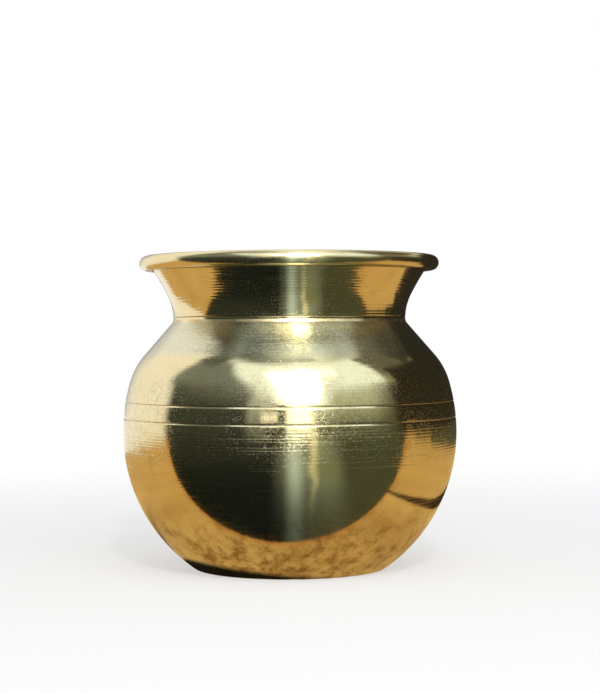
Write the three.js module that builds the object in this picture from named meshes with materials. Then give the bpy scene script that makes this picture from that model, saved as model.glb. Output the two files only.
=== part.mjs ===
// A kalash: a round-bellied brass water pot, spun from sheet in three shells that are brazed
// together, with its mouth rolled over a wire. Units are millimetres and +Z is up.
import * as THREE from 'three';

// Driving dimensions. Heights are measured from the plane that the pot stands on, and
// angles are in degrees.
const SEGMENTS = 48;
const WALL = 1.0;
const FILM = 0.2;

// Belly: one arc below the equator, a flatter one above it, then a tight round into a cone.
const BELLY_RADIUS = 57.0;
const EQUATOR = 46.5;
const LOWER_CURVE = 56.5;
const UPPER_CURVE = 62.3;
const ROUND_START = 16;
const ROUND_CURVE = 24.2;
const CONE_LEAN = 41;

// Base: a flat ring to stand on, round a shallow kick-up.
const BASE_FILLET = 1.2;
const STANDING_INNER = 28.5;
const KICK_RADIUS = 24.0;
const KICK_RISE = 1.0;

// Belly seam, hidden in the lower of the two turned grooves, and the lip inside it.
const SEAM = 51.4;
const UPPER_GROOVE = 56.9;
const GROOVE_WIDTH = 0.66;
const GROOVE_DEPTH = 0.36;
const LIP_RISE = 4.0;
const JOGGLE = 1.5;
const BRAZE_FILLET = 0.6;

// Neck: two flaring arcs, whose foot sleeves over the shoulder's upstand.
const NECK_RADIUS = 39.7;
const UPSTAND_TOP = 89.0;
const FOOT_LINE = 85.7;
const FOOT_LINE_WIDTH = 0.4;
const FOOT_LINE_DEPTH = 0.2;
const FLARE_START = 85.0;
const LOWER_FLARE_CURVE = 18.5;
const UPPER_FLARE_CURVE = 86.0;
const MID_FLARE = 27;
const FULL_FLARE = 33;

// Mouth: the sheet turns back a little, then rolls outward over the wire.
const WIRE_RADIUS = 1.5;
const ROLL_APPROACH = 6.0;
const ROLL_OFFSET = 0.5;
const ROLL_END = -128;
const ROLL_STEPS = 12;

// A profile point is [radius, height]. An arc runs between two angles, both ends included,
// where 0 points away from the axis and 90 points up.
function arc(centre, radius, from, to, steps) {
  const points = [];
  for (let step = 0; step <= steps; step += 1) {
    const angle = THREE.MathUtils.degToRad(from + (to - from) * step / steps);
    points.push([centre[0] + radius * Math.cos(angle), centre[1] + radius * Math.sin(angle)]);
  }
  return points;
}

// The angle at which an arc, on its side away from the axis, passes a height.
function angleAt(height, centre, radius) {
  return THREE.MathUtils.radToDeg(Math.asin((height - centre[1]) / radius));
}

// Turns a closed profile round the pot's axis into a named solid.
function spin(name, profile, material) {
  const onAxis = profile[0][0] === 0;
  const outline = onAxis ? profile : [...profile, profile[0]];
  const points = outline.map(([radius, height]) => new THREE.Vector2(radius, height));
  const geometry = new THREE.LatheGeometry(points, SEGMENTS);
  geometry.rotateX(Math.PI / 2);
  const mesh = new THREE.Mesh(geometry, material);
  mesh.name = name;
  return mesh;
}

function brass(colour, roughness) {
  return new THREE.MeshStandardMaterial({ color: colour, roughness, metalness: 1 });
}

// The belly above its equator. Depth is measured inwards from the outer surface.
const upperCentre = [BELLY_RADIUS - UPPER_CURVE, EQUATOR];

function bellyPoint(height, depth) {
  const radius = UPPER_CURVE - depth;
  const rise = height - EQUATOR;
  return [upperCentre[0] + Math.sqrt(radius * radius - rise * rise), height];
}

function bellyArc(depth, fromHeight, toHeight, steps) {
  const radius = UPPER_CURVE - depth;
  const from = angleAt(fromHeight, upperCentre, radius);
  const to = angleAt(toHeight, upperCentre, radius);
  return arc(upperCentre, radius, from, to, steps);
}

// The round above it, and the straight cone that carries the neck.
const roundStart = THREE.MathUtils.degToRad(ROUND_START);
const coneLean = THREE.MathUtils.degToRad(CONE_LEAN);
const roundCentre = [
  upperCentre[0] + (UPPER_CURVE - ROUND_CURVE) * Math.cos(roundStart),
  upperCentre[1] + (UPPER_CURVE - ROUND_CURVE) * Math.sin(roundStart),
];

function conePoint(radius, depth) {
  const reach = ROUND_CURVE - depth - (radius - roundCentre[0]) * Math.cos(coneLean);
  return [radius, roundCentre[1] + reach / Math.sin(coneLean)];
}

// The lower flare of the neck. Depth is measured inwards from the neck's outer surface.
const flareCentre = [NECK_RADIUS + LOWER_FLARE_CURVE, FLARE_START];

function flareArc(depth, fromHeight, toHeight, steps) {
  const radius = LOWER_FLARE_CURVE + depth;
  const from = 180 - angleAt(fromHeight, flareCentre, radius);
  const to = 180 - angleAt(toHeight, flareCentre, radius);
  return arc(flareCentre, radius, from, to, steps);
}

// Faces that two pieces share are built once, so that both pieces get the same vertices.
const seamFloor = SEAM - FILM / 2;
const seamRoof = SEAM + FILM / 2;
const lipTop = SEAM + LIP_RISE;
const lipFace = bellyArc(WALL + FILM, seamFloor, lipTop, 2);
const seamFace = [
  ...bellyArc(WALL, seamRoof, lipTop, 2),
  bellyPoint(lipTop + BRAZE_FILLET, WALL),
];

const upstandRadius = NECK_RADIUS - WALL - FILM;
const coneToe = conePoint(NECK_RADIUS + BRAZE_FILLET, 0);
const coneFold = conePoint(upstandRadius, 0);
const footOuter = conePoint(NECK_RADIUS, -FILM);
const footInner = conePoint(NECK_RADIUS - WALL, -FILM);
const footFilletTop = [NECK_RADIUS, footOuter[1] + BRAZE_FILLET];
const upstandFace = [
  coneFold,
  ...flareArc(WALL + FILM, coneFold[1], UPSTAND_TOP, 2).slice(1),
];
const sleeveFace = [
  footInner,
  ...flareArc(WALL, footInner[1], UPSTAND_TOP, 2).slice(1),
  flareArc(WALL, UPSTAND_TOP + BRAZE_FILLET, UPSTAND_TOP, 1)[0],
];

// Mouth roll: where the flare ends, where the sheet meets the wire, and the wire's centre.
const midFlare = THREE.MathUtils.degToRad(MID_FLARE);
const fullFlare = THREE.MathUtils.degToRad(FULL_FLARE);
const upperFlareCentre = [
  flareCentre[0] + (UPPER_FLARE_CURVE - LOWER_FLARE_CURVE) * Math.cos(midFlare),
  flareCentre[1] - (UPPER_FLARE_CURVE - LOWER_FLARE_CURVE) * Math.sin(midFlare),
];
const approachCentre = [
  upperFlareCentre[0] - (UPPER_FLARE_CURVE + ROLL_APPROACH) * Math.cos(fullFlare),
  upperFlareCentre[1] + (UPPER_FLARE_CURVE + ROLL_APPROACH) * Math.sin(fullFlare),
];
const approachTurn = THREE.MathUtils.radToDeg(
  Math.acos((ROLL_APPROACH + ROLL_OFFSET) / (ROLL_APPROACH + WIRE_RADIUS)),
);
const contactAngle = approachTurn - FULL_FLARE;
const wireCentre = arc(approachCentre, ROLL_APPROACH + WIRE_RADIUS, contactAngle, 0, 1)[0];
const wireFace = arc(wireCentre, WIRE_RADIUS, 180 + contactAngle, ROLL_END, ROLL_STEPS);

// Lower half of the belly, with its base and the lip that centres the upper half.
function lowerBowl(material) {
  const centre = [BELLY_RADIUS - LOWER_CURVE, EQUATOR];
  const reach = LOWER_CURVE - BASE_FILLET;
  const drop = EQUATOR - BASE_FILLET;
  const filletCentre = [centre[0] + Math.sqrt(reach * reach - drop * drop), BASE_FILLET];
  const filletEnd = angleAt(BASE_FILLET, centre, reach);
  const innerCurve = LOWER_CURVE - WALL;
  const innerFloor = angleAt(WALL, centre, innerCurve);
  return spin('lower_bowl', [
    [0, KICK_RISE],
    [KICK_RADIUS, KICK_RISE],
    [STANDING_INNER, 0],
    ...arc(filletCentre, BASE_FILLET, -90, filletEnd, 2),
    ...arc(centre, LOWER_CURVE, filletEnd, 0, 10).slice(1),
    bellyPoint(SEAM - GROOVE_WIDTH / 2, 0),
    [bellyPoint(SEAM, GROOVE_DEPTH)[0], seamFloor],
    ...lipFace,
    ...bellyArc(2 * WALL + FILM, lipTop, seamRoof, 2),
    bellyPoint(SEAM - JOGGLE, WALL),
    ...arc(centre, innerCurve, 0, innerFloor, 9),
    [STANDING_INNER + WALL / 2, WALL],
    [KICK_RADIUS, KICK_RISE + WALL],
    [0, KICK_RISE + WALL],
  ], material);
}

// Upper half of the belly: groove, round, cone, and the upstand that the neck slips over.
function shoulderShell(material) {
  const inner = ROUND_CURVE - WALL;
  return spin('shoulder_shell', [
    [bellyPoint(SEAM, GROOVE_DEPTH)[0], seamRoof],
    bellyPoint(SEAM + GROOVE_WIDTH / 2, 0),
    bellyPoint(UPPER_GROOVE - GROOVE_WIDTH / 2, 0),
    bellyPoint(UPPER_GROOVE, GROOVE_DEPTH),
    bellyPoint(UPPER_GROOVE + GROOVE_WIDTH / 2, 0),
    bellyPoint(UPPER_GROOVE + GROOVE_WIDTH * 5, 0),
    ...arc(roundCentre, ROUND_CURVE, ROUND_START, CONE_LEAN, 5),
    coneToe,
    ...upstandFace,
    ...flareArc(2 * WALL + FILM, UPSTAND_TOP, coneFold[1], 2).slice(0, -1),
    conePoint(upstandRadius - WALL, WALL),
    ...arc(roundCentre, inner, CONE_LEAN, ROUND_START, 5),
    bellyPoint(UPPER_GROOVE, WALL),
    ...[...seamFace].reverse(),
  ], material);
}

// Neck: foot, turned line, flare, and the roll that closes over the wire.
function neckCollar(material) {
  const lineTop = FOOT_LINE + FOOT_LINE_WIDTH / 2;
  const flareTop = flareCentre[1] + LOWER_FLARE_CURVE * Math.sin(midFlare);
  const innerTop = flareTop + WALL * Math.sin(midFlare);
  const upperInner = UPPER_FLARE_CURVE + WALL;
  const rollFace = arc(wireCentre, WIRE_RADIUS + WALL, ROLL_END, 180 + contactAngle, ROLL_STEPS);
  return spin('neck_collar', [
    footOuter,
    footFilletTop,
    [NECK_RADIUS, FOOT_LINE - FOOT_LINE_WIDTH / 2],
    [NECK_RADIUS - FOOT_LINE_DEPTH, FOOT_LINE],
    ...flareArc(0, lineTop, flareTop, 4),
    ...arc(upperFlareCentre, UPPER_FLARE_CURVE, 180 - MID_FLARE, 180 - FULL_FLARE, 2).slice(1),
    ...arc(approachCentre, ROLL_APPROACH, -FULL_FLARE, contactAngle, 3).slice(1, -1),
    ...wireFace,
    ...rollFace,
    ...arc(approachCentre, ROLL_APPROACH - WALL, contactAngle, -FULL_FLARE, 3).slice(1),
    ...arc(upperFlareCentre, upperInner, 180 - FULL_FLARE, 180 - MID_FLARE, 2).slice(1),
    ...flareArc(WALL, innerTop, UPSTAND_TOP + BRAZE_FILLET, 3).slice(1, -1),
    ...[...sleeveFace].reverse(),
  ], material);
}

// Stiffening wire in the roll, gripped over the same face that the sheet is wrapped on.
function rimWire(material) {
  const openTurn = 180 + contactAngle - (ROLL_END + 360);
  const openFace = arc(wireCentre, WIRE_RADIUS, ROLL_END, ROLL_END - Math.abs(openTurn), 2);
  return spin('rim_wire', [...[...wireFace].reverse(), ...openFace.slice(1, -1).reverse()], material);
}

// Braze that fills the belly seam, with a small fillet on top of the lip inside.
function bellyBraze(material) {
  return spin('belly_braze', [
    [bellyPoint(SEAM, GROOVE_DEPTH)[0], seamFloor],
    [bellyPoint(SEAM, GROOVE_DEPTH)[0], seamRoof],
    ...seamFace,
    ...[...lipFace].reverse(),
  ], material);
}

// Braze between the neck and the shoulder, with the bright fillet seen outside at the crease.
function neckBraze(material) {
  const hollow = BRAZE_FILLET / 4;
  return spin('neck_braze', [
    coneToe,
    [NECK_RADIUS + hollow, footOuter[1] + hollow / 2],
    footFilletTop,
    footOuter,
    ...sleeveFace,
    ...[...upstandFace].reverse(),
  ], material);
}

const kalash = new THREE.Group();
const polished = brass(0xc9a055, 0.14);
kalash.add(lowerBowl(polished));
kalash.add(shoulderShell(polished.clone()));
kalash.add(neckCollar(polished.clone()));
kalash.add(rimWire(brass(0xb58d45, 0.45)));
kalash.add(bellyBraze(brass(0xd8bb78, 0.3)));
kalash.add(neckBraze(brass(0xd8bb78, 0.3)));

export default kalash;
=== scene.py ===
from math import acos, asin, cos, degrees, pi, radians, sin, sqrt

import bmesh
import bpy
from mathutils import Matrix, Vector


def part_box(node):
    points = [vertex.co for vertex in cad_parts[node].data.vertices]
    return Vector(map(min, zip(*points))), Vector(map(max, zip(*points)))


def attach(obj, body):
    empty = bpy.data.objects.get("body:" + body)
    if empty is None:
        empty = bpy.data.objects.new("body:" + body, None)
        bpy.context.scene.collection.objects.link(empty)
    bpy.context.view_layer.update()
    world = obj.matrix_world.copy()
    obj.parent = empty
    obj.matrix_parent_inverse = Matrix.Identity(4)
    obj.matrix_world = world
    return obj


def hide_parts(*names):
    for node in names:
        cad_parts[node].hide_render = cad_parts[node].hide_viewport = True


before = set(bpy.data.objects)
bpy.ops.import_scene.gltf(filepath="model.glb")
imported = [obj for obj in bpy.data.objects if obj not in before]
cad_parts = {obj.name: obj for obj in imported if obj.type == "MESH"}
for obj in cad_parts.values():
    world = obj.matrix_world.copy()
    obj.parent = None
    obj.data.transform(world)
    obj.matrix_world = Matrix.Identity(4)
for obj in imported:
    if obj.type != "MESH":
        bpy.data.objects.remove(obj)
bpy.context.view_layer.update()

# Camera: 0.6 m from the pot and level with its shoulder, so that the mouth is seen from just
# below its rim. The aim and the slight tilt put the pot where the photograph has it.
PHOTO_HEIGHT = 693
FOCAL_PIXELS = 1748
SENSOR = 36
camera_place = Vector((0, -0.6, 0.080))
camera_aim = Vector((0.0036, 0, 0.0756))
CAMERA_TILT = 0.25

camera_data = bpy.data.cameras.new("camera")
camera_data.sensor_width = SENSOR
camera_data.lens = SENSOR * FOCAL_PIXELS / PHOTO_HEIGHT
camera = bpy.data.objects.new("camera", camera_data)
looking = (camera_aim - camera_place).to_track_quat("-Z", "Y").to_matrix().to_4x4()
camera.matrix_world = (
    Matrix.Translation(camera_place) @ looking @ Matrix.Rotation(radians(-CAMERA_TILT), 4, "Z")
)
bpy.context.collection.objects.link(camera)
bpy.context.scene.camera = camera

# Lower bowl: the lower half of the belly with the flat base in it. It is spun from brass
# sheet 1 mm thick, and its lip goes up inside the shoulder, where it is brazed. Outlines are
# drawn in millimetres, as radius and height, and everything else is in metres.
METRE = 1000
TURNS = 192
WALL = 1.0
FILM = 0.2
EQUATOR = 46.5
LOWER_CURVE = 56.5
UPPER_CURVE = 62.3
BASE_FILLET = 1.2
STANDING_INNER = 28.5
KICK_RADIUS = 24.0
KICK_RISE = 1.0
CENTRE_MARK = 1.3
CENTRE_MARK_DEPTH = 0.4
GROOVE_BELOW = 0.56
GROOVE_DEPTH = 0.26
LIP_RISE = 3.8
JOGGLE = 1.5
FEED = 0.00095
SAME_PLACE = 0.0005
ON_THE_EDGE = 0.002
SHARP_FROM = 40
TRUE_CENTRE = 0.002
OUT_OF_ROUND = 0.000018
belly_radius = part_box("lower_bowl")[1].x * METRE
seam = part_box("lower_bowl")[1].z * METRE - LIP_RISE
lower_centre = (belly_radius - LOWER_CURVE, EQUATOR)
upper_centre = (belly_radius - UPPER_CURVE, EQUATOR)


def begin(radius, height):
    """Starts an outline on the XZ plane and returns it with its first vertex, twice."""
    outline = bmesh.new()
    first = outline.verts.new((radius, 0, height))
    return outline, first, first


def line_to(outline, tip, radius, height, steps=1):
    """Draws a straight stretch on from the tip and returns the new tip."""
    step = (Vector((radius, 0, height)) - tip.co) / steps
    for _ in range(steps):
        tip = bmesh.ops.extrude_vert_indiv(outline, verts=[tip])["verts"][0]
        bmesh.ops.translate(outline, verts=[tip], vec=step)
    return tip


def arc_to(outline, tip, centre, to_angle, steps):
    """Draws an arc about a centre on from the tip, to an angle where 0 points outward and 90
    points up, and returns the new tip."""
    from_angle = Vector((1, 0)).angle_signed(Vector((centre[0] - tip.co.x, centre[1] - tip.co.z)))
    here = degrees(pi - from_angle)
    turn = (to_angle - here + 180) % 360 - 180
    return sweep_by(outline, tip, centre, turn, steps)


def sweep_by(outline, tip, centre, turn, steps):
    """Draws an arc of so many degrees about a centre, anticlockwise if positive."""
    made = bmesh.ops.spin(
        outline, geom=[tip], cent=(centre[0], 0, centre[1]), axis=(0, 1, 0),
        angle=radians(-turn), steps=steps, use_merge=False,
    )
    return [part for part in made["geom_last"] if isinstance(part, bmesh.types.BMVert)][0]


def belly_at(height, depth=0.0):
    """The belly's radius at a height above its equator, so deep into the sheet."""
    return upper_centre[0] + sqrt((UPPER_CURVE - depth) ** 2 - (height - EQUATOR) ** 2)


def belly_angle(height, depth=0.0):
    """The angle at which the belly's upper arc passes a height."""
    return degrees(asin((height - EQUATOR) / (UPPER_CURVE - depth)))


def hand_work(place):
    """How far the sheet stands proud of true at a place, in metres: spinning by hand leaves
    it a few hundredths of a millimetre out of round."""
    x, y, z = place.normalized()
    waves = sin(3.1 * x + 7.0 * z) + sin(4.3 * y - 5.0 * z + 1.0) + sin(5.2 * x - 3.7 * y + 2.0)
    return OUT_OF_ROUND * waves


def turn_outline(outline, name, rounded=()):
    """Spins an outline round the pot's axis into a piece of the pot. rounded lists edge loops
    to round off: radius, height and how far back from the edge the rounding starts."""
    bmesh.ops.spin(
        outline, geom=outline.verts[:] + outline.edges[:], cent=(0, 0, 0), axis=(0, 0, 1),
        angle=2 * pi, steps=TURNS, use_merge=True,
    )
    bmesh.ops.remove_doubles(outline, verts=outline.verts, dist=SAME_PLACE)
    bmesh.ops.dissolve_degenerate(outline, edges=outline.edges, dist=SAME_PLACE)
    for radius, height, back in rounded:
        loop = [edge for edge in outline.edges if all(
            abs(vert.co.z - height) < ON_THE_EDGE
            and abs(vert.co.xy.length - radius) < ON_THE_EDGE
            for vert in edge.verts
        )]
        bmesh.ops.bevel(
            outline, geom=loop, offset=back, offset_type="OFFSET", segments=3, profile=0.5,
            affect="EDGES", material=-1,
        )
    bmesh.ops.recalc_face_normals(outline, faces=outline.faces)
    bmesh.ops.scale(outline, vec=Vector((1, 1, 1)) / METRE, verts=outline.verts)
    for vert in outline.verts:
        away = Vector((vert.co.x, vert.co.y, 0))
        if away.length > TRUE_CENTRE:
            vert.co += away.normalized() * hand_work(vert.co)
    mesh = bpy.data.meshes.new(name)
    outline.to_mesh(mesh)
    outline.free()
    mesh.shade_smooth()
    mesh.set_sharp_from_angle(angle=radians(SHARP_FROM))
    piece = bpy.data.objects.new(name, mesh)
    bpy.context.collection.objects.link(piece)
    return piece


def node(tree, kind, inputs=None, **settings):
    """Adds a shader node, with its settings, and links or sets its inputs by name or number."""
    made = tree.nodes.new(kind)
    for key, value in settings.items():
        setattr(made, key, value)
    for key, value in (inputs or {}).items():
        if isinstance(value, bpy.types.NodeSocket):
            tree.links.new(value, made.inputs[key])
        else:
            made.inputs[key].default_value = value
    return made


def sum_up(tree, operation, *values, clamp=False):
    """A Math node of one or more numbers or sockets."""
    inputs = dict(enumerate(values))
    return node(tree, "ShaderNodeMath", inputs, operation=operation, use_clamp=clamp).outputs[0]


def share_of(tree, value, share):
    """A value times a share, which may be a value too."""
    return sum_up(tree, "MULTIPLY", value, share)


def grade(tree, value, low, high, to_low=0.0, to_high=1.0):
    """Maps a value smoothly from one range to another, and keeps it there."""
    inputs = {
        "Value": value, "From Min": low, "From Max": high, "To Min": to_low, "To Max": to_high,
    }
    return node(
        tree, "ShaderNodeMapRange", inputs, interpolation_type="SMOOTHSTEP",
    ).outputs["Result"]


def window(tree, value, low, high, soft):
    """1 between two values, and 0 beyond a soft edge centred on each."""
    opening = grade(tree, value, low - soft / 2, low + soft / 2)
    closing = grade(tree, value, high + soft / 2, high - soft / 2)
    return share_of(tree, opening, closing)


def tint(tree, factor, first, second):
    """Mixes two colours: the first where the factor is 0, and the second where it is 1."""
    inputs = {0: factor, 6: first, 7: second}
    return node(tree, "ShaderNodeMix", inputs, data_type="RGBA").outputs[2]


def clouds(tree, place, size, detail=4.0, roughness=0.55):
    """Soft blotches of about this size in metres, from 0 to 1."""
    inputs = {"Vector": place, "Scale": 1 / size, "Detail": detail, "Roughness": roughness}
    return node(tree, "ShaderNodeTexNoise", inputs).outputs["Fac"]


def pot_place(tree):
    """Where a point is on the pot: its place, height, distance from the axis and direction."""
    place = node(tree, "ShaderNodeTexCoord").outputs["Object"]
    level = node(
        tree, "ShaderNodeVectorMath", {0: place, 1: (1, 1, 0)}, operation="MULTIPLY",
    ).outputs["Vector"]
    away = node(tree, "ShaderNodeVectorMath", {0: level}, operation="LENGTH").outputs["Value"]
    facing = node(
        tree, "ShaderNodeVectorMath", {0: level}, operation="NORMALIZE",
    ).outputs["Vector"]
    height = node(tree, "ShaderNodeSeparateXYZ", {0: place}).outputs["Z"]
    return place, height, away, facing


def lathe_marks(tree, spot, pitch, run, detail=2.0):
    """Marks that run round the pot, a pitch apart. Each drifts over a length of about run."""
    _, height, away, facing = spot
    squeezed = node(
        tree, "ShaderNodeVectorMath", {0: facing, "Scale": 0.05 * pitch / run}, operation="SCALE",
    ).outputs["Vector"]
    ring = node(tree, "ShaderNodeCombineXYZ", {"Z": away}).outputs["Vector"]
    vector = node(
        tree, "ShaderNodeVectorMath", {0: squeezed, 1: ring}, operation="ADD",
    ).outputs["Vector"]
    inputs = {"Vector": vector, "W": height, "Scale": 1 / pitch, "Detail": detail}
    return node(tree, "ShaderNodeTexNoise", inputs, noise_dimensions="4D").outputs["Fac"]


def turning_waves(tree, spot):
    """The lathe's feed: even ridges a millimetre apart that fade in and out, from 0 to 1."""
    drift = share_of(tree, lathe_marks(tree, spot, 0.0030, 0.120), 6.0)
    phase = sum_up(tree, "MULTIPLY_ADD", spot[1], 2 * pi / FEED, drift)
    wave = sum_up(tree, "MULTIPLY_ADD", sum_up(tree, "SINE", phase), 0.5, 0.5)
    depth = grade(tree, lathe_marks(tree, spot, 0.0022, 0.060), 0.35, 0.65, 0.15, 1.0)
    return share_of(tree, wave, depth)


def specks(tree, place, spacing, size, share):
    """Scattered specks of a size, on a share of the cells of a spacing, from 0 to 1."""
    cells = node(tree, "ShaderNodeTexVoronoi", {"Vector": place, "Scale": 1 / spacing})
    chosen = node(tree, "ShaderNodeSeparateColor", {0: cells.outputs["Color"]}).outputs[0]
    present = sum_up(tree, "LESS_THAN", chosen, share)
    reach = size / spacing
    spot = grade(tree, cells.outputs["Distance"], reach, reach * 0.5)
    return share_of(tree, present, spot)


def near_lines(tree, height, lines, reach):
    """1 on turned lines at these heights, in metres, fading to 0 over the reach."""
    total = 0.0
    for line in lines:
        off = sum_up(tree, "ABSOLUTE", sum_up(tree, "SUBTRACT", height, line))
        total = sum_up(tree, "MAXIMUM", total, grade(tree, off, reach, reach * 0.2))
    return total


def raised(tree, height, distance, normal=None):
    """Adds relief of a real height, in metres, to a normal."""
    inputs = {"Height": height, "Distance": distance, "Strength": 1.0}
    if normal:
        inputs["Normal"] = normal
    return node(tree, "ShaderNodeBump", inputs).outputs["Normal"]


def finish_metal(tree, colour, roughness, normal, anisotropy):
    """Metal whose polishing scratches run round the pot, so that it smears light upright."""
    inputs = {
        "Base Color": colour, "Roughness": roughness, "Normal": normal, "Metallic": 1.0,
        "Anisotropic": anisotropy, "Anisotropic Rotation": 0.25,
        "Tangent": node(tree, "ShaderNodeTangent", direction_type="RADIAL", axis="Z").outputs[0],
    }
    shader = node(tree, "ShaderNodeBsdfPrincipled", inputs)
    out = node(tree, "ShaderNodeOutputMaterial", {"Surface": shader.outputs[0]})
    out.is_active_output = True


def empty_material(name):
    """A material with no nodes yet, and its tree."""
    material = bpy.data.materials.new(name)
    material.use_nodes = True
    material.node_tree.nodes.clear()
    return material, material.node_tree


def polished_brass(name, grime_and_shade_heights, marked, mark_depth, scored_by, dull):
    """Lathe polished brass sheet whose turned lines, at the heights given as its second argument,
    are darkened: partly grimy, partly painted shade.
    The lathe's feed shows most between the two heights in marked, as ridges mark_depth high
    that roughen the metal by scored_by. dull is a band that the polishing cloth misses: its
    lowest and its highest height, how hazy it is, from 0 to 1, and how much rougher."""
    material, tree = empty_material(name)
    spot = pot_place(tree)
    place, height = spot[0], spot[1]
    bright = (0.88, 0.76, 0.45, 1)
    warm = (0.85, 0.70, 0.38, 1)
    tarnish = (0.52, 0.42, 0.22, 1)
    brown = (0.38, 0.24, 0.08, 1)
    dust = (0.88, 0.86, 0.76, 1)
    # Dark for the turned lines, partly grimy and partly painted shade.
    grime_and_shade_colour = (0.10, 0.07, 0.03, 1)
    pale_film = (0.77, 0.79, 0.60, 1)
    grey_film = (0.56, 0.54, 0.40, 1)

    # Brown patches low on the belly, where the polishing cloth seldom reaches.
    broad = grade(tree, clouds(tree, place, 0.0090, detail=3.0), 0.42, 0.66)
    fine = grade(tree, clouds(tree, place, 0.0056, detail=8.0, roughness=0.70), 0.43, 0.64)
    blotch = sum_up(tree, "MULTIPLY_ADD", broad, 0.26, share_of(tree, fine, 0.66))
    near_base = grade(tree, height, 0.030, 0.006, 0.0, 1.35)
    browned = sum_up(tree, "MULTIPLY", blotch, near_base, clamp=True)

    # Grimy turned lines with painted shade in them, and haze with a fine mist in it on the dull
    # band.
    grime_and_shade = near_lines(tree, height, grime_and_shade_heights, 0.00016)
    dull_band = window(tree, height, dull[0], dull[1], 0.004)
    haze = share_of(tree, dull_band, dull[2])
    mist = grade(tree, clouds(tree, place, 0.00035, detail=2.0), 0.40, 0.62)
    mist = share_of(tree, mist, haze)

    # Specks of dust, most of them on the sides that face up.
    fine_dust = specks(tree, place, 0.0006, 0.00017, 0.45)
    coarse_dust = specks(tree, place, 0.0019, 0.00024, 0.14)
    settled = grade(tree, height, 0.036, 0.054, 0.25, 0.90)
    settled = share_of(tree, settled, grade(tree, height, 0.084, 0.090, 1.0, 0.35))
    dusty = share_of(tree, sum_up(tree, "MAXIMUM", fine_dust, coarse_dust), settled)

    # Wear: pale scuffs and a dark grain round the middle of the belly, which hands hold, with
    # fewer scuffs on the neck, and some of the grain under the haze.
    belly_held = window(tree, height, 0.0385, 0.0670, 0.008)
    neck_held = share_of(tree, window(tree, height, 0.0865, 0.0985, 0.004), 0.55)
    held = sum_up(tree, "MAXIMUM", belly_held, neck_held)
    patchy = grade(tree, clouds(tree, place, 0.010), 0.35, 0.65, 0.35, 1.0)
    scuffs = grade(tree, clouds(tree, place, 0.0008, detail=4.0, roughness=0.70), 0.50, 0.63)
    worn = share_of(tree, scuffs, share_of(tree, patchy, held))
    grain = grade(tree, clouds(tree, place, 0.0012, detail=3.0, roughness=0.65), 0.46, 0.60)
    spread = sum_up(tree, "MAXIMUM", belly_held, share_of(tree, haze, 0.6))
    grain = share_of(tree, grain, share_of(tree, patchy, spread))

    # Colour, from the bare metal to what lies on it.
    tone = grade(tree, clouds(tree, place, 0.030), 0.35, 0.70)
    stain = grade(tree, clouds(tree, place, 0.007, detail=6.0), 0.55, 0.80, 0.0, 0.30)
    colour = tint(tree, tone, bright, warm)
    colour = tint(tree, stain, colour, tarnish)
    colour = tint(tree, browned, colour, brown)
    # Among these layers, the dark of the turned lines is partly grimy and partly painted shade.
    layers = [
        (grime_and_shade, 0.60, grime_and_shade_colour), (haze, 0.60, pale_film), (mist, 0.35, grey_film),
        (worn, 0.34, dust), (grain, 0.40, tarnish), (dusty, 0.50, dust),
    ]
    for where, share, layer in layers:
        colour = tint(tree, share_of(tree, where, share), colour, layer)

    # Roughness: hairlines round the pot, and what dulls the metal further.
    ridged = window(tree, height, marked[0], marked[1], 0.006)
    waves = turning_waves(tree, spot)
    hairlines = lathe_marks(tree, spot, 0.00010, 0.012, detail=1.0)
    smudge = grade(tree, clouds(tree, place, 0.016, detail=5.0), 0.45, 0.80, 0.0, 0.05)
    scored = grade(tree, lathe_marks(tree, spot, 0.0005, 0.025), 0.42, 0.60)
    scored = share_of(tree, grade(tree, waves, 0.45, 0.90), scored)
    scored = share_of(tree, scored, share_of(tree, ridged, scored_by))
    hazy_foot = share_of(tree, haze, grade(tree, height, 0.0765, 0.0830))
    roughness = grade(tree, hairlines, 0.50, 0.78, 0.07, 0.24)
    added = [
        (smudge, 1.0), (scored, 1.0), (grime_and_shade, 0.20), (dull_band, dull[3]), (hazy_foot, 0.08),
        (mist, 0.12), (worn, 0.26), (dusty, 0.32),
    ]
    for where, share in added:
        roughness = sum_up(tree, "ADD", roughness, share_of(tree, where, share), clamp=True)

    # Relief: the lathe's ridges, an uneven hand, dust and pits.
    feed = share_of(tree, waves, sum_up(tree, "MULTIPLY_ADD", ridged, 0.9, 0.1))
    pits = specks(tree, place, 0.0021, 0.00030, 0.10)
    normal = raised(tree, feed, mark_depth)
    normal = raised(tree, lathe_marks(tree, spot, 0.0035, 0.150), 0.0000080, normal)
    normal = raised(tree, clouds(tree, place, 0.004), 0.0000060, normal)
    normal = raised(tree, clouds(tree, place, 0.0006, detail=2.0), 0.0000040, normal)
    normal = raised(tree, sum_up(tree, "SUBTRACT", dusty, pits), 0.0000080, normal)
    finish_metal(tree, colour, roughness, normal, anisotropy=0.90)
    return material


def inside_brass(name):
    """The sheet's inner face: never polished, with the spinning tool's coarser rings in it,
    browned by age and water."""
    material, tree = empty_material(name)
    spot = pot_place(tree)
    place = spot[0]
    raw = (0.64, 0.46, 0.21, 1)
    aged = (0.50, 0.34, 0.14, 1)
    water_stain = (0.28, 0.18, 0.08, 1)
    tone = grade(tree, clouds(tree, place, 0.022), 0.35, 0.70)
    colour = tint(tree, tone, raw, aged)
    stain = grade(tree, clouds(tree, place, 0.006, detail=6.0), 0.50, 0.72, 0.0, 0.55)
    colour = tint(tree, stain, colour, water_stain)
    tool_rings = lathe_marks(tree, spot, 0.0016, 0.080)
    roughness = grade(tree, clouds(tree, place, 0.009, detail=5.0), 0.3, 0.7, 0.30, 0.48)
    normal = raised(tree, tool_rings, 0.000022)
    normal = raised(tree, lathe_marks(tree, spot, 0.0004, 0.030), 0.000004, normal)
    normal = raised(tree, clouds(tree, place, 0.0012), 0.000006, normal)
    finish_metal(tree, colour, roughness, normal, anisotropy=0.6)
    return material


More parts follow.
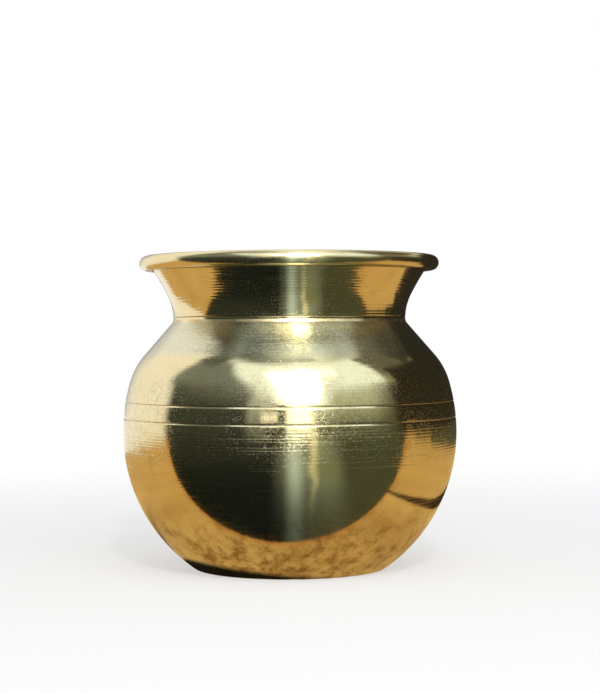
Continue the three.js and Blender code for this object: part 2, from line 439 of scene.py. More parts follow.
def dress_sheet(piece, outside, inside, is_inner):
    """Gives a spun shell its outer finish, and its inner one on the faces is_inner picks."""
    piece.data.materials.append(outside)
    piece.data.materials.append(inside)
    for face in piece.data.polygons:
        face.material_index = int(is_inner(face))


def faces_the_axis(face):
    """True on a face that looks in at the pot's axis."""
    return face.normal.x * face.center.x + face.normal.y * face.center.y < 0


fillet_reach = LOWER_CURVE - BASE_FILLET
fillet_radius = lower_centre[0] + sqrt(fillet_reach ** 2 - (EQUATOR - BASE_FILLET) ** 2)
fillet_end = degrees(asin((BASE_FILLET - EQUATOR) / fillet_reach))
inner_floor = degrees(asin((WALL - EQUATOR) / (LOWER_CURVE - WALL)))
seam_floor = seam - FILM / 2
seam_roof = seam + FILM / 2
lip_top = seam + LIP_RISE
groove_floor = belly_at(seam, GROOVE_DEPTH)

bowl, _, tip = begin(0, KICK_RISE + CENTRE_MARK_DEPTH)
tip = line_to(bowl, tip, CENTRE_MARK, KICK_RISE, 2)
tip = line_to(bowl, tip, KICK_RADIUS, KICK_RISE, 24)
tip = line_to(bowl, tip, STANDING_INNER, 0, 4)
tip = line_to(bowl, tip, fillet_radius, 0, 4)
tip = arc_to(bowl, tip, (fillet_radius, BASE_FILLET), fillet_end, 5)
tip = arc_to(bowl, tip, lower_centre, 0, 110)
tip = arc_to(bowl, tip, upper_centre, belly_angle(seam - GROOVE_BELOW), 10)
tip = line_to(bowl, tip, groove_floor, seam_floor, 3)
tip = line_to(bowl, tip, belly_at(seam_floor, WALL + FILM), seam_floor)
tip = arc_to(bowl, tip, upper_centre, belly_angle(lip_top, WALL + FILM), 4)
tip = line_to(bowl, tip, belly_at(lip_top, 2 * WALL + FILM), lip_top)
tip = arc_to(bowl, tip, upper_centre, belly_angle(seam_roof, 2 * WALL + FILM), 4)
tip = line_to(bowl, tip, belly_at(seam - JOGGLE, WALL), seam - JOGGLE, 3)
tip = line_to(bowl, tip, belly_radius - WALL, EQUATOR, 4)
tip = arc_to(bowl, tip, lower_centre, inner_floor, 55)
tip = line_to(bowl, tip, STANDING_INNER + WALL / 2, WALL, 3)
tip = line_to(bowl, tip, KICK_RADIUS, KICK_RISE + WALL, 4)
tip = line_to(bowl, tip, 0, KICK_RISE + WALL, 24)

lower_bowl = turn_outline(bowl, "lower_bowl_sheet", rounded=[
    (STANDING_INNER, 0, 0.9),
    (KICK_RADIUS, KICK_RISE, 0.8),
    (belly_at(seam - GROOVE_BELOW), seam - GROOVE_BELOW, 0.06),
    (belly_at(lip_top, 2 * WALL + FILM), lip_top, 0.2),
    (KICK_RADIUS, KICK_RISE + WALL, 0.8),
    (STANDING_INNER + WALL / 2, WALL, 0.8),
])
# How far above a turned line's floor its grimy dark and painted shade sit, in millimetres.
GRIME_AND_SHADE_RISE = 0.1
NO_DULL_BAND = (-1, -1, 0, 0)
lower_finish = polished_brass(
    "polished_brass_below", [(seam + GRIME_AND_SHADE_RISE) / METRE], marked=(0.033, 0.0500),
    mark_depth=0.000014, scored_by=0.20, dull=NO_DULL_BAND,
)
inner_finish = inside_brass("unpolished_brass_inside")


def in_the_bowl(face):
    """True on the bowl's inner wall and floor."""
    height = face.center.z * METRE
    on_wall = faces_the_axis(face) and height > 0.8 * WALL
    on_floor = face.normal.z > 0.5 and 0.6 * WALL < height < 10 * WALL
    return on_wall or on_floor


dress_sheet(lower_bowl, lower_finish, inner_finish, in_the_bowl)
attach(lower_bowl, "root")
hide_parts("lower_bowl")

# Shoulder shell: the upper half of the belly, spun from the same sheet, with the second
# turned line, the straight shoulder, and an upstand at the top that the neck slips over.
ROUND_START = 16
ROUND_CURVE = 24.2
CONE_LEAN = 41
NECK_RADIUS = 39.7
FLARE_START = 85.0
LOWER_FLARE_CURVE = 18.5
UPSTAND_TOP = 89.0
GROOVE_ABOVE = 0.14
LINE_SPACING = 5.5
upper_groove = seam + LINE_SPACING
round_centre = (
    upper_centre[0] + (UPPER_CURVE - ROUND_CURVE) * cos(radians(ROUND_START)),
    upper_centre[1] + (UPPER_CURVE - ROUND_CURVE) * sin(radians(ROUND_START)),
)
flare_centre = (NECK_RADIUS + LOWER_FLARE_CURVE, FLARE_START)


def cone_at(radius, depth=0.0):
    """The shoulder cone's height at a radius, so deep into the sheet."""
    reach = ROUND_CURVE - depth - (radius - round_centre[0]) * cos(radians(CONE_LEAN))
    return round_centre[1] + reach / sin(radians(CONE_LEAN))


def flare_at(height, depth):
    """The neck's radius at a height in its lower flare, so deep into the sheet."""
    return flare_centre[0] - sqrt((LOWER_FLARE_CURVE + depth) ** 2 - (height - FLARE_START) ** 2)


def flare_angle(height, depth):
    """The angle at which the neck's lower flare passes a height."""
    return 180 - degrees(asin((height - FLARE_START) / (LOWER_FLARE_CURVE + depth)))


seam_head = seam + GROOVE_ABOVE
groove_foot = upper_groove - GROOVE_BELOW
groove_head = upper_groove + GROOVE_ABOVE
upstand_radius = NECK_RADIUS - WALL - FILM
shoulder, first, tip = begin(groove_floor, seam_roof)
tip = line_to(shoulder, tip, belly_at(seam_head), seam_head, 3)
tip = arc_to(shoulder, tip, upper_centre, belly_angle(groove_foot), 10)
tip = line_to(shoulder, tip, belly_at(upper_groove, GROOVE_DEPTH), upper_groove, 3)
tip = line_to(shoulder, tip, belly_at(groove_head), groove_head, 3)
tip = arc_to(shoulder, tip, upper_centre, ROUND_START, 14)
tip = arc_to(shoulder, tip, round_centre, CONE_LEAN, 24)
tip = line_to(shoulder, tip, upstand_radius, cone_at(upstand_radius), 34)
tip = arc_to(shoulder, tip, flare_centre, flare_angle(UPSTAND_TOP, WALL + FILM), 5)
tip = line_to(shoulder, tip, flare_at(UPSTAND_TOP, 2 * WALL + FILM), UPSTAND_TOP)
fold = cone_at(upstand_radius - WALL, WALL)
tip = line_to(shoulder, tip, upstand_radius - WALL, fold, 5)
inner_round = ROUND_CURVE - WALL
cone_end = round_centre[0] + inner_round * cos(radians(CONE_LEAN))
tip = line_to(shoulder, tip, cone_end, cone_at(cone_end, WALL), 17)
tip = arc_to(shoulder, tip, round_centre, ROUND_START, 12)
tip = arc_to(shoulder, tip, upper_centre, belly_angle(seam_roof, WALL), 14)
shoulder.edges.new((tip, first))

shoulder_shell = turn_outline(shoulder, "shoulder_sheet", rounded=[
    (belly_at(seam_head), seam_head, 0.05),
    (belly_at(groove_foot), groove_foot, 0.06),
    (belly_at(upper_groove, GROOVE_DEPTH), upper_groove, 0.04),
    (belly_at(groove_head), groove_head, 0.05),
    (flare_at(UPSTAND_TOP, 2 * WALL + FILM), UPSTAND_TOP, 0.2),
    (upstand_radius - WALL, fold, 0.5),
])
crease = cone_at(NECK_RADIUS)
# The shoulder's two turned lines and the crease under the neck get grimy dark and painted shade.
upper_lines = [seam + GRIME_AND_SHADE_RISE, upper_groove + GRIME_AND_SHADE_RISE, crease]
upper_finish = polished_brass(
    "polished_brass_above", [line / METRE for line in upper_lines], marked=(0.060, 0.084),
    mark_depth=0.000004, scored_by=0.04, dull=(0.0735, 0.090, 1, 0.03),
)
dress_sheet(shoulder_shell, upper_finish, inner_finish, faces_the_axis)
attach(shoulder_shell, "root")
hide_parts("shoulder_shell")

# Neck collar: the flaring neck, spun from the same sheet. A fine line is turned at its foot,
# and its edge is rolled outward over a wire to make the thick round rim.
UPPER_FLARE_CURVE = 86.0
MID_FLARE = 27
FULL_FLARE = 33
FOOT_LINE = 85.7
FOOT_LINE_WIDTH = 0.4
FOOT_LINE_DEPTH = 0.2
WIRE_RADIUS = 1.5
ROLL_APPROACH = 6.0
ROLL_OFFSET = 0.5
ROLL_END = -128
upper_flare_centre = (
    flare_centre[0] + (UPPER_FLARE_CURVE - LOWER_FLARE_CURVE) * cos(radians(MID_FLARE)),
    flare_centre[1] - (UPPER_FLARE_CURVE - LOWER_FLARE_CURVE) * sin(radians(MID_FLARE)),
)
approach_centre = (
    upper_flare_centre[0] - (UPPER_FLARE_CURVE + ROLL_APPROACH) * cos(radians(FULL_FLARE)),
    upper_flare_centre[1] + (UPPER_FLARE_CURVE + ROLL_APPROACH) * sin(radians(FULL_FLARE)),
)
approach_turn = acos((ROLL_APPROACH + ROLL_OFFSET) / (ROLL_APPROACH + WIRE_RADIUS))
contact = degrees(approach_turn) - FULL_FLARE
wire_centre = (
    approach_centre[0] + (ROLL_APPROACH + WIRE_RADIUS) * cos(radians(contact)),
    approach_centre[1] + (ROLL_APPROACH + WIRE_RADIUS) * sin(radians(contact)),
)
wrap = 180 + contact - ROLL_END
foot_outer = cone_at(NECK_RADIUS, -FILM)
foot_inner = cone_at(NECK_RADIUS - WALL, -FILM)
line_foot = FOOT_LINE - FOOT_LINE_WIDTH / 2
line_head = FOOT_LINE + FOOT_LINE_WIDTH / 2

collar, first, tip = begin(NECK_RADIUS, foot_outer)
tip = line_to(collar, tip, NECK_RADIUS, line_foot, 3)
tip = line_to(collar, tip, NECK_RADIUS - FOOT_LINE_DEPTH, FOOT_LINE, 2)
tip = line_to(collar, tip, flare_at(line_head, 0), line_head, 2)
tip = arc_to(collar, tip, flare_centre, 180 - MID_FLARE, 20)
tip = arc_to(collar, tip, upper_flare_centre, 180 - FULL_FLARE, 20)
tip = arc_to(collar, tip, approach_centre, contact, 8)
tip = sweep_by(collar, tip, wire_centre, -wrap, 30)
end_face = WIRE_RADIUS + WALL
tip = line_to(
    collar, tip, wire_centre[0] + end_face * cos(radians(ROLL_END)),
    wire_centre[1] + end_face * sin(radians(ROLL_END)), 2,
)
tip = sweep_by(collar, tip, wire_centre, wrap, 40)
tip = arc_to(collar, tip, approach_centre, -FULL_FLARE, 8)
tip = arc_to(collar, tip, upper_flare_centre, 180 - MID_FLARE, 16)
tip = arc_to(collar, tip, flare_centre, flare_angle(foot_inner, WALL), 20)
collar.edges.new((tip, first))

neck_collar = turn_outline(collar, "neck_collar_sheet", rounded=[
    (NECK_RADIUS, line_foot, 0.05),
    (flare_at(line_head, 0), line_head, 0.05),
    (
        wire_centre[0] + end_face * cos(radians(ROLL_END)),
        wire_centre[1] + end_face * sin(radians(ROLL_END)), 0.15,
    ),
])
# The neck's foot line, its crease and the underside of the roll get grimy dark and painted shade.
neck_lines = [FOOT_LINE, foot_outer, wire_centre[1] - end_face]
neck_finish = polished_brass(
    "polished_brass_neck", [line / METRE for line in neck_lines], marked=(0.080, 0.102),
    mark_depth=0.000022, scored_by=0.0, dull=(0.1015, 0.120, 0, 0.10),
)


def in_the_neck(face):
    """True on the neck's inner wall, up to where it turns over into the roll."""
    below_roll = face.center.z * METRE < approach_centre[1]
    beside_wire = face.center.xy.length * METRE < wire_centre[0] - WIRE_RADIUS - 0.2
    return faces_the_axis(face) and below_roll and beside_wire


dress_sheet(neck_collar, neck_finish, inner_finish, in_the_neck)
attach(neck_collar, "root")
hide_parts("neck_collar")

# Rim wire: a ring of drawn brass wire 3 mm thick. The sheet's edge is rolled round it, so all
# that shows of it is a glimpse through the gap under the roll.
WIRE_SIDES = 24
WIRE_SIDE = 360 / WIRE_SIDES
wire, first, tip = begin(wire_centre[0] - WIRE_RADIUS, wire_centre[1])
tip = sweep_by(wire, tip, wire_centre, WIRE_SIDE - 360, WIRE_SIDES - 1)
wire.edges.new((tip, first))
rim_wire = turn_outline(wire, "rim_wire_ring")


def drawn_wire(name):
    """Wire as it left the die: dull, with faint lengthwise lines."""
    material, tree = empty_material(name)
    spot = pot_place(tree)
    dull_brass = (0.66, 0.47, 0.20, 1)
    darkened = (0.42, 0.28, 0.11, 1)
    tone = grade(tree, clouds(tree, spot[0], 0.008), 0.3, 0.7)
    colour = tint(tree, tone, dull_brass, darkened)
    die_lines = lathe_marks(tree, spot, 0.0003, 0.100)
    roughness = grade(tree, die_lines, 0.3, 0.7, 0.36, 0.52)
    normal = raised(tree, die_lines, 0.000004)
    finish_metal(tree, colour, roughness, normal, anisotropy=0.5)
    return material


rim_wire.data.materials.append(drawn_wire("drawn_wire"))
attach(rim_wire, "root")
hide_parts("rim_wire")

# Belly braze: brazing alloy drawn by heat into the gap between the lip and the shoulder. It
# shows as a thin floor in the lower turned line, and inside as a fillet on top of the lip.
BRAZE_FILLET = 0.6
seam_braze, first, tip = begin(groove_floor, seam_floor)
tip = line_to(seam_braze, tip, groove_floor, seam_roof)
tip = line_to(seam_braze, tip, belly_at(seam_roof, WALL), seam_roof)
tip = arc_to(seam_braze, tip, upper_centre, belly_angle(lip_top + BRAZE_FILLET, WALL), 5)
lip_edge = belly_at(lip_top, WALL + FILM)
tip = line_to(seam_braze, tip, lip_edge - BRAZE_FILLET / 4, lip_top + BRAZE_FILLET / 5, 3)
tip = line_to(seam_braze, tip, lip_edge, lip_top)
tip = arc_to(seam_braze, tip, upper_centre, belly_angle(seam_floor, WALL + FILM), 4)
seam_braze.edges.new((tip, first))
belly_braze = turn_outline(seam_braze, "belly_braze_seam")


def brazing_alloy(name):
    """Braze is paler than the sheet and flows unevenly, so it has a rippled, speckled skin."""
    material, tree = empty_material(name)
    place = pot_place(tree)[0]
    pale_alloy = (0.90, 0.76, 0.47, 1)
    yellow_alloy = (0.70, 0.50, 0.24, 1)
    tone = grade(tree, clouds(tree, place, 0.004, detail=5.0), 0.35, 0.70)
    colour = tint(tree, tone, pale_alloy, yellow_alloy)
    roughness = grade(tree, clouds(tree, place, 0.002), 0.3, 0.7, 0.22, 0.42)
    normal = raised(tree, clouds(tree, place, 0.0015), 0.000030)
    finish_metal(tree, colour, roughness, normal, anisotropy=0.3)
    return material


braze_finish = brazing_alloy("brazing_alloy")
belly_braze.data.materials.append(braze_finish)
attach(belly_braze, "root")
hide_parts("belly_braze")

# Neck braze: the same alloy between the neck's foot and the shoulder's upstand. Outside it
# is dressed to a small hollow fillet, the bright line in the crease.
DRESSED_FILLET = 0.28
fillet_toe = NECK_RADIUS + DRESSED_FILLET
neck_seam, first, tip = begin(fillet_toe, cone_at(fillet_toe))
tip = line_to(
    neck_seam, tip, NECK_RADIUS + DRESSED_FILLET / 4, foot_outer + DRESSED_FILLET / 8, 3,
)
tip = line_to(neck_seam, tip, NECK_RADIUS, foot_outer + DRESSED_FILLET, 3)
tip = line_to(neck_seam, tip, NECK_RADIUS, foot_outer)
tip = line_to(neck_seam, tip, flare_at(foot_inner, WALL), foot_inner)
sleeve_end = UPSTAND_TOP + BRAZE_FILLET
tip = arc_to(neck_seam, tip, flare_centre, flare_angle(sleeve_end, WALL), 5)
tip = line_to(neck_seam, tip, flare_at(UPSTAND_TOP, WALL + FILM), UPSTAND_TOP, 2)
fold_outer = cone_at(upstand_radius)
tip = arc_to(neck_seam, tip, flare_centre, flare_angle(fold_outer, WALL + FILM), 5)
neck_seam.edges.new((tip, first))
neck_braze = turn_outline(neck_seam, "neck_braze_seam")
neck_braze.data.materials.append(braze_finish)
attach(neck_braze, "root")
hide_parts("neck_braze")

# Floor: a plain pale floor that carries the pot's soft shadow. Away from the pot it turns as
# white as the background, for the camera and for the metal alike.
FLOOR_SIZE = 12.0
FLOOR_GLOW = 0.55
FLOOR_GREY = (0.90, 0.90, 0.90, 1)
WHITE = (1, 1, 1, 1)


def seen_directly(tree):
    """1 for what the camera, metal or glass sees, and 0 for the light that falls on things."""
    path = node(tree, "ShaderNodeLightPath")
    seen = sum_up(tree, "MAXIMUM", path.outputs["Is Camera Ray"], path.outputs["Is Glossy Ray"])
    return sum_up(tree, "MAXIMUM", seen, path.outputs["Is Transmission Ray"])


def stage_object(name, sheet):
    """Makes a bmesh part of the studio."""
    mesh = bpy.data.meshes.new(name)
    sheet.to_mesh(mesh)
    sheet.free()
    made = bpy.data.objects.new(name, mesh)
    bpy.context.collection.objects.link(made)
    return made


floor_sheet = bmesh.new()
bmesh.ops.create_grid(floor_sheet, x_segments=1, y_segments=1, size=FLOOR_SIZE / 2)
floor = stage_object("floor", floor_sheet)
floor_paint, tree = empty_material("pale_floor")
_, _, away, _ = pot_place(tree)
glowing = grade(tree, away, 0.10, 0.50, FLOOR_GLOW, 1.0)
matt = node(tree, "ShaderNodeBsdfDiffuse", {"Color": FLOOR_GREY}).outputs[0]
glow = node(tree, "ShaderNodeEmission", {"Color": WHITE, "Strength": 1.0}).outputs[0]
whitened = share_of(tree, seen_directly(tree), glowing)
mixed = node(tree, "ShaderNodeMixShader", {0: whitened, 1: matt, 2: glow}).outputs[0]
node(tree, "ShaderNodeOutputMaterial", {"Surface": mixed})
floor.data.materials.append(floor_paint)

# Light: white all round, and a large soft lamp high in front that gives the floor its shadow.
# A small lamp beside it draws the upright streak down the turned metal.
WORLD_LIGHT = 0.55
world = bpy.data.worlds.new("white_studio")
bpy.context.scene.world = world
world.use_nodes = True
tree = world.node_tree
tree.nodes.clear()
strength = grade(tree, seen_directly(tree), 0.0, 1.0, WORLD_LIGHT, 1.0)
background = node(tree, "ShaderNodeBackground", {"Color": WHITE, "Strength": strength})
node(tree, "ShaderNodeOutputWorld", {"Surface": background.outputs[0]})


def bearing(azimuth, elevation, distance):
    """A place seen from the pot. Azimuth 0 is the camera's side, and 90 is to its right."""
    level = distance * cos(radians(elevation))
    return Vector((
        level * sin(radians(azimuth)), -level * cos(radians(azimuth)),
        distance * sin(radians(elevation)),
    ))


def soft_lamp(name, place, size, power):
    """A square lamp that faces the pot."""
    lamp = bpy.data.lights.new(name, "AREA")
    lamp.size = size
    lamp.energy = power
    made = bpy.data.objects.new(name, lamp)
    turn = (Vector((0, 0, 0.05)) - place).to_track_quat("-Z", "Y").to_matrix().to_4x4()
    made.matrix_world = Matrix.Translation(place) @ turn
    bpy.context.collection.objects.link(made)
    return made


key_lamp = soft_lamp("key_softbox", bearing(14, 42, 1.2), 0.9, 6.0)
key_lamp.visible_glossy = False
soft_lamp("streak_lamp", bearing(6, 38, 1.1), 0.06, 2.5)

# Tent, boards and screens: what the metal mirrors and the camera doesn't see. A white tent has
# a bright window high in front and dark panels round it. In it the pot stands on a warm board,
# with dark ground in front and two dark screens close by.
TENT_RADIUS = 2.0
DARK_CLOTH = (0.026, 0.024, 0.018, 1)


def only_mirrored(sheet, tone, cover=None):
    """Lets nothing but metal see a sheet, evenly lit. tone is its colour, or what makes it from
    a place, and cover makes how much the sheet hides there."""
    paint, tree = empty_material(sheet.name + "_paint")
    place = node(tree, "ShaderNodeTexCoord").outputs["Object"]
    colour = tone(tree, place) if callable(tone) else tone
    inputs = {"Color": colour, "Strength": 1.0}
    glow = node(tree, "ShaderNodeEmission", inputs).outputs[0]
    if cover:
        clear = node(tree, "ShaderNodeBsdfTransparent").outputs[0]
        inputs = {0: cover(tree, place), 1: clear, 2: glow}
        glow = node(tree, "ShaderNodeMixShader", inputs).outputs[0]
    node(tree, "ShaderNodeOutputMaterial", {"Surface": glow})
    sheet.data.materials.append(paint)
    sheet.visible_camera = False
    sheet.visible_diffuse = False
    sheet.visible_shadow = False
    sheet.visible_transmission = False


def tent_angles(tree, place):
    """The azimuth, from -180 to 180, and the elevation of a place, in degrees."""
    parts = node(tree, "ShaderNodeSeparateXYZ", {0: place}).outputs
    squares = [share_of(tree, parts[axis], parts[axis]) for axis in ("X", "Y")]
    level = sum_up(tree, "SQRT", sum_up(tree, "ADD", *squares))
    forward = share_of(tree, parts["Y"], -1.0)
    azimuth = sum_up(tree, "DEGREES", sum_up(tree, "ARCTAN2", parts["X"], forward))
    elevation = sum_up(tree, "DEGREES", sum_up(tree, "ARCTAN2", parts["Z"], level))
    return azimuth, elevation


def full_turn(tree, azimuth):
    """An azimuth counted from 0 to 360, for what passes behind the pot."""
    return sum_up(tree, "MODULO", sum_up(tree, "ADD", azimuth, 360.0), 360.0)


def panel(tree, angles, sides, heights, soft):
    """A soft-edged panel of the tent, between two azimuths and two elevations."""
    across = window(tree, angles[0], *sides, soft)
    up = window(tree, angles[1], *heights, soft)
    return share_of(tree, across, up)


def hang(tree, angles, colour, sides, heights, soft, tone):
    """Hangs a panel of a tone over the tent's colour."""
    return tint(tree, panel(tree, angles, sides, heights, soft), colour, tone)


def front_tone(tree, place, reach, far_off):
    """What stands low in front: near black on the left, paler far off, and olive on the right.
    Between them lie a pale upright band and two pale streaks, painted highlights for the metal's
    upright streaks, and they fade with reach."""
    near_black = (0.008, 0.012, 0.012, 1)
    far_black = (0.028, 0.032, 0.027, 1)
    olive = (0.064, 0.072, 0.045, 1)
    highlight_band_tone = (0.42, 0.50, 0.44, 1)
    cool_highlight_strip = (0.50, 0.66, 0.70, 1)
    cream_highlight_strip = (0.95, 0.95, 0.68, 1)
    azimuth, _ = tent_angles(tree, place)
    colour = tint(tree, far_off, near_black, far_black)
    colour = tint(tree, grade(tree, azimuth, 4.0, 26.0), colour, olive)
    # The band and the two streaks are painted highlights.
    band = share_of(tree, window(tree, azimuth, -4, 27, 16.0), reach)
    colour = tint(tree, share_of(tree, band, 0.55), colour, highlight_band_tone)
    wide = share_of(tree, window(tree, azimuth, -1, 6, 7.0), reach)
    colour = tint(tree, wide, colour, cool_highlight_strip)
    aside = node(
        tree, "ShaderNodeVectorMath", {0: place, 1: (0.006, 0, 0)}, operation="ADD",
    ).outputs["Vector"]
    waver = sum_up(tree, "MULTIPLY_ADD", clouds(tree, place, 0.035, detail=2.0), 9.0, -4.5)
    wavering = sum_up(tree, "ADD", tent_angles(tree, aside)[0], waver)
    narrow = window(tree, wavering, 14.0, 17.0, 4.0)
    narrow = share_of(tree, narrow, share_of(tree, reach, reach))
    return tint(tree, narrow, colour, cream_highlight_strip)


def tent_shade(tree, place):
    """The tent's white, its bright window and its dark panels."""
    angles = tent_angles(tree, place)
    azimuth, elevation = angles
    turned = full_turn(tree, azimuth)
    angles_behind = (turned, elevation)

    # White cloth, cooler in front, under a roof that is dark on the left and dim on the right.
    sideways = node(tree, "ShaderNodeSeparateXYZ", {0: place}).outputs["X"]
    across = sum_up(tree, "DIVIDE", sideways, TENT_RADIUS)
    left_roof = (0.085, 0.105, 0.115, 1)
    mid_roof = (1.0, 1.1, 1.1, 1)
    right_roof = (0.16, 0.17, 0.12, 1)
    roof = tint(tree, grade(tree, across, -0.34, 0.10), left_roof, mid_roof)
    roof = tint(tree, grade(tree, across, 0.16, 0.50), roof, right_roof)
    colour = hang(tree, angles, WHITE, (-80, 84), (10, 80), 14.0, (1.05, 1.20, 1.30, 1))
    colour = tint(tree, grade(tree, elevation, 59.0, 70.0), colour, roof)
    ring = share_of(tree, panel(tree, angles, (-100, 40), (68, 77), 7.0), 0.6)
    colour = tint(tree, ring, colour, (0.16, 0.18, 0.15, 1))

    # The window, slanted on its left, with a bright core in it and a pale glow above.
    colour = hang(tree, angles, colour, (-18, 40), (44, 56), 8.0, (2.0, 2.0, 1.9, 1))
    slant = sum_up(tree, "MULTIPLY_ADD", elevation, 0.55, azimuth)
    pane = share_of(
        tree, window(tree, elevation, 21, 50, 8.0), window(tree, azimuth, -25, 21, 6.0),
    )
    pane = share_of(tree, pane, grade(tree, slant, 2.0, 9.0))
    colour = tint(tree, pane, colour, (3.2, 3.2, 3.1, 1))
    colour = hang(tree, angles, colour, (5, 22), (28, 43), 6.0, (14.0, 14.0, 13.6, 1))

    # Shade on the left, high and low, and a paler strip between it and the front.
    slant = sum_up(tree, "MULTIPLY_ADD", elevation, 1.1, azimuth)
    shaded = share_of(
        tree, window(tree, azimuth, -98, 0, 10.0), grade(tree, slant, 11.0, -4.0),
    )
    shaded = share_of(tree, shaded, window(tree, elevation, 22, 60, 8.0))
    colour = tint(tree, shaded, colour, (0.20, 0.235, 0.235, 1))
    colour = hang(tree, angles, colour, (-104, -76), (50, 66), 8.0, (0.10, 0.11, 0.11, 1))
    rising = grade(tree, elevation, 15.0, 27.0)
    left_tone = tint(tree, rising, (0.045, 0.052, 0.045, 1), (0.14, 0.155, 0.14, 1))
    rising = grade(tree, elevation, 2.0, 22.0)
    strip_tone = tint(tree, rising, (0.15, 0.18, 0.15, 1), (0.44, 0.48, 0.42, 1))
    colour = hang(tree, angles, colour, (-92, -25), (-30, 27), 9.0, left_tone)
    colour = hang(tree, angles, colour, (-28, -12), (1, 24), 9.0, strip_tone)
    colour = hang(tree, angles, colour, (-28, -12), (-30, 3), 9.0, left_tone)

    # Olive haze on the right, and the front with painted highlight streaks and two small lights
    # on it.
    haze = tint(tree, rising, (0.085, 0.095, 0.062, 1), (0.50, 0.54, 0.40, 1))
    haze = tint(tree, grade(tree, azimuth, 54.0, 82.0), haze, (0.075, 0.070, 0.042, 1))
    colour = hang(tree, angles, colour, (28, 86), (-30, 27), 9.0, haze)
    colour = hang(tree, angles, colour, (17, 31), (-30, 16), 7.0, haze)
    front = front_tone(tree, place, 1.0, 1.0)
    colour = hang(tree, angles, colour, (-16, 19), (-30, 20), 7.0, front)
    colour = hang(tree, angles, colour, (-2, 14), (4, 26), 4.0, (2.0, 2.0, 1.9, 1))
    colour = hang(tree, angles, colour, (-19, -8), (9, 15), 3.0, (1.4, 1.4, 1.3, 1))

    # Behind the pot and on its right: dim high up and dark low down.
    fading = grade(tree, turned, 225.0, 168.0)
    behind = tint(
        tree, grade(tree, turned, 126.0, 190.0), (0.05, 0.05, 0.035, 1), (1.0, 1.0, 0.90, 1),
    )
    behind = tint(tree, grade(tree, elevation, 38.0, 33.0), behind, (0.55, 0.54, 0.42, 1))
    high = panel(tree, angles_behind, (112, 260), (20, 66), 7.0)
    colour = tint(tree, share_of(tree, high, fading), colour, behind)
    beside = tint(
        tree, window(tree, elevation, 24, 36, 5.0), (0.14, 0.14, 0.11, 1), (0.30, 0.29, 0.21, 1),
    )
    beside = tint(tree, grade(tree, elevation, 28.0, 20.0), beside, DARK_CLOTH)
    colour = hang(tree, angles, colour, (77, 114), (-30, 62), 7.0, beside)
    low = panel(tree, angles_behind, (108, 260), (-30, 24), 7.0)
    return tint(tree, share_of(tree, low, fading), colour, DARK_CLOTH)


dome = bmesh.new()
bmesh.ops.create_uvsphere(dome, u_segments=64, v_segments=32, radius=TENT_RADIUS)
below = [vert for vert in dome.verts if vert.co.z < -0.01]
bmesh.ops.delete(dome, geom=below, context="VERTS")
bmesh.ops.reverse_faces(dome, faces=dome.faces)
only_mirrored(stage_object("light_tent", dome), tent_shade)


def flat_board(name, corners, height):
    """A flat sheet for the studio between any corners, listed anticlockwise."""
    sheet = bmesh.new()
    sheet.faces.new([sheet.verts.new((x, y, height)) for x, y in corners])
    return stage_object(name, sheet)


board = flat_board("warm_board", [
    (0.645, -0.113), (1.90, -0.14), (1.90, 0.01), (0.69, 0.02), (0.66, 0.19), (0.40, 0.118),
    (0.315, 0.274), (0.257, 0.33), (0.10, 0.95), (-0.08, 0.75), (-0.16, 0.431),
    (-0.324, 0.172), (-0.497, 0.097), (-0.90, 0.02), (-0.90, -0.041), (-0.111, -0.0452),
    (0.104, -0.054),
], 0.0003)
ground = flat_board("dark_ground", [
    (-1.95, -1.95), (1.95, -1.95), (1.95, 1.95), (0.15, 1.95), (0.15, 0.0), (-1.95, 0.0),
], 0.0002)
gap = flat_board("plank_gap", [
    (0.0765, -0.060), (0.0800, -0.060), (0.0895, -0.004), (0.0965, 0.060), (0.1080, 0.27),
    (0.0790, 0.27), (0.0795, 0.060), (0.0790, -0.004),
], 0.0004)

EDGE_SLOPE = 0.041
EDGE_START = -0.0462
EDGE_END = -0.0494
SHADOW_SHIFT = (0.0038, -0.0004, 0)
CONTACT_START = 0.0363
CONTACT_END = 0.0335


def board_tone(tree, place):
    """A warm board with an orange front edge. It carries painted shade round the pot, a painted
    contact shadow where the pot stands and a painted shadow cast behind it to the left."""
    pale_wood = (0.68, 0.46, 0.18, 1)
    deep_wood = (0.54, 0.34, 0.13, 1)
    orange_edge = (0.58, 0.27, 0.07, 1)
    shaded_wood = (0.20, 0.12, 0.05, 1)
    cast_shadow = (0.05, 0.03, 0.025, 1)
    contact_shadow = (0.012, 0.010, 0.008, 1)
    stretched = node(
        tree, "ShaderNodeVectorMath", {0: place, 1: (1.0, 0.15, 1.0)}, operation="MULTIPLY",
    ).outputs["Vector"]
    patch = grade(tree, clouds(tree, stretched, 0.03), 0.3, 0.7)
    colour = tint(tree, patch, pale_wood, deep_wood)
    parts = node(tree, "ShaderNodeSeparateXYZ", {0: place}).outputs
    inward = sum_up(tree, "MULTIPLY_ADD", parts["X"], EDGE_SLOPE, parts["Y"])
    edge = grade(tree, inward, EDGE_START, EDGE_END, 0.0, 0.7)
    colour = tint(tree, edge, colour, orange_edge)
    shifted = node(
        tree, "ShaderNodeVectorMath", {0: place, 1: SHADOW_SHIFT}, operation="ADD",
    ).outputs["Vector"]
    away = node(tree, "ShaderNodeVectorMath", {0: shifted}, operation="LENGTH").outputs["Value"]
    # Painted shade on the board round the pot.
    colour = tint(tree, grade(tree, away, 0.10, 0.045, 0.0, 0.12), colour, shaded_wood)
    # A painted shadow cast behind the pot to the left, and a painted contact shadow under its
    # foot.
    turned = full_turn(tree, tent_angles(tree, place)[0])
    cast = share_of(tree, grade(tree, turned, 262.0, 232.0), grade(tree, turned, 150.0, 225.0))
    cast = share_of(tree, cast, grade(tree, away, 0.100, 0.050))
    colour = tint(tree, share_of(tree, cast, 0.9), colour, cast_shadow)
    contact = grade(tree, away, CONTACT_START, CONTACT_END)
    return tint(tree, contact, colour, contact_shadow)


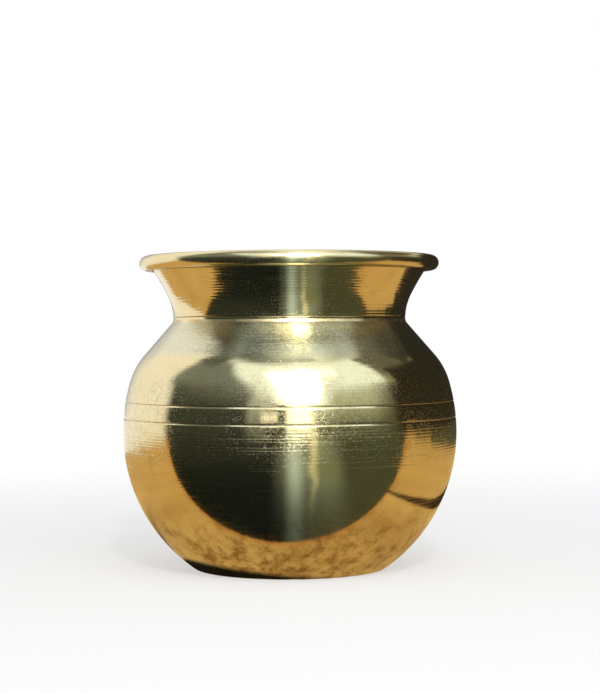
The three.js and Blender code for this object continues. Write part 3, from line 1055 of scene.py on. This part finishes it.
def ground_tone(tree, place):
    """Dark ground in front, as the panel behind it. Its pale strips, painted highlights, fade
    towards the pot.
    """
    away = node(tree, "ShaderNodeVectorMath", {0: place}, operation="LENGTH").outputs["Value"]
    reach = grade(tree, away, 0.045, 0.160, 0.10, 1.0)
    colour = front_tone(tree, place, reach, grade(tree, away, 0.060, 0.280))
    patch = window(tree, tent_angles(tree, place)[0], 13, 27, 9.0)
    patch = share_of(tree, patch, window(tree, away, 0.12, 0.22, 0.06))
    return tint(tree, share_of(tree, patch, 0.7), colour, (0.16, 0.19, 0.08, 1))


only_mirrored(board, board_tone)
only_mirrored(ground, ground_tone)
only_mirrored(gap, (0.035, 0.022, 0.012, 1))

SCREEN_DISTANCE = 0.11
SCREEN_FADE = 0.014


def near_screen(name, sides, heights, fades):
    """A dark screen close to the pot, curved round it between two azimuths and two heights.
    It thins out over the top SCREEN_FADE of its height, and over the degrees in fades at its
    first and its last side."""
    screen = bmesh.new()
    start = screen.verts.new(bearing(sides[0], 0, SCREEN_DISTANCE) + Vector((0, 0, heights[0])))
    bmesh.ops.spin(
        screen, geom=[start], cent=(0, 0, 0), axis=(0, 0, 1),
        angle=radians(sides[1] - sides[0]), steps=24,
    )
    raised_edge = bmesh.ops.extrude_edge_only(screen, edges=screen.edges[:])["geom"]
    top = [part for part in raised_edge if isinstance(part, bmesh.types.BMVert)]
    bmesh.ops.translate(screen, verts=top, vec=(0, 0, heights[1] - heights[0]))

    def cover(tree, place):
        azimuth = full_turn(tree, tent_angles(tree, place)[0])
        opening = grade(tree, azimuth, sides[0], sides[0] + fades[0])
        closing = grade(tree, azimuth, sides[1], sides[1] - fades[1])
        up = node(tree, "ShaderNodeSeparateXYZ", {0: place}).outputs["Z"]
        below_top = grade(tree, up, heights[1], heights[1] - SCREEN_FADE)
        return share_of(tree, share_of(tree, opening, closing), below_top)

    only_mirrored(stage_object(name, screen), DARK_CLOTH, cover)


near_screen("dark_screen_beside", (64, 106), (0.074, 0.138), (2, 1))
near_screen("dark_screen_behind", (104, 225), (0.057, 0.163), (1, 55))

bpy.context.scene.view_settings.view_transform = "Standard"
